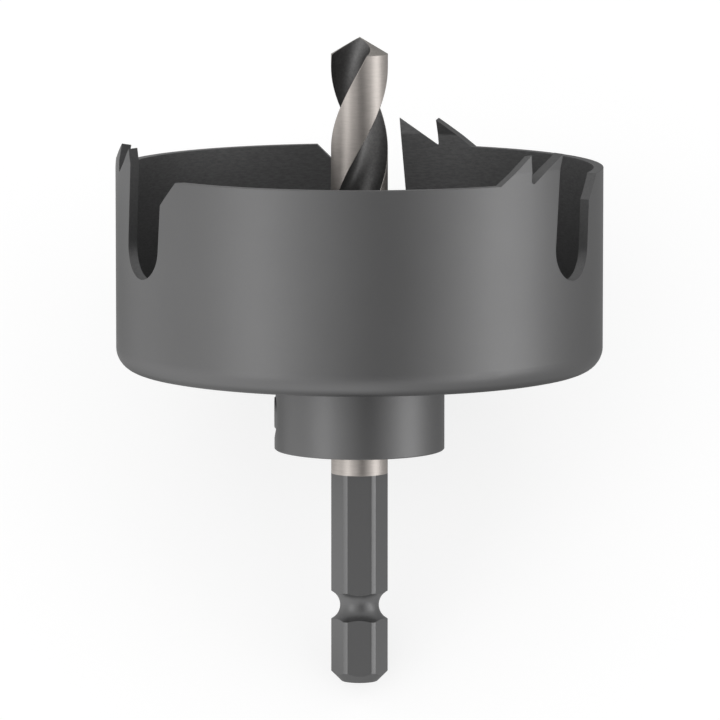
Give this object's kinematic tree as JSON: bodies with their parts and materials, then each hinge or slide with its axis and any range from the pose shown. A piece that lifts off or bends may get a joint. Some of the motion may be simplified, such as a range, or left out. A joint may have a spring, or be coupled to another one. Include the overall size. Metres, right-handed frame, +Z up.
{
  "type": "hole saw",
  "caption": "Hole saw for sheet metal: a thin toothed steel cup on a collar, with a pilot drill on a hexagon shank held by a set screw.",
  "frame": {"origin": "on the surface that the saw lies on, under the middle of its box", "axes": "+Z up; the pilot drill rises towards +Y at 33.8 degrees, from the shank's end on the surface to its point in the air; the set screw faces -X"},
  "size_m": [0.06, 0.0738, 0.0627],
  "materials": {
    "cup_steel": "satin gunmetal grey heat-treated steel",
    "collar_steel": "satin gunmetal grey turned steel",
    "screw_steel": "black oxide",
    "drill_steel": "ground high-speed steel, dark in the flutes and on the hexagon"
  },
  "bodies": {
    "root": {"saw_cup": "cup_steel", "hub_collar": "collar_steel", "set_screw": "screw_steel", "pilot_drill": "drill_steel"}
  },
  "joints": []
}
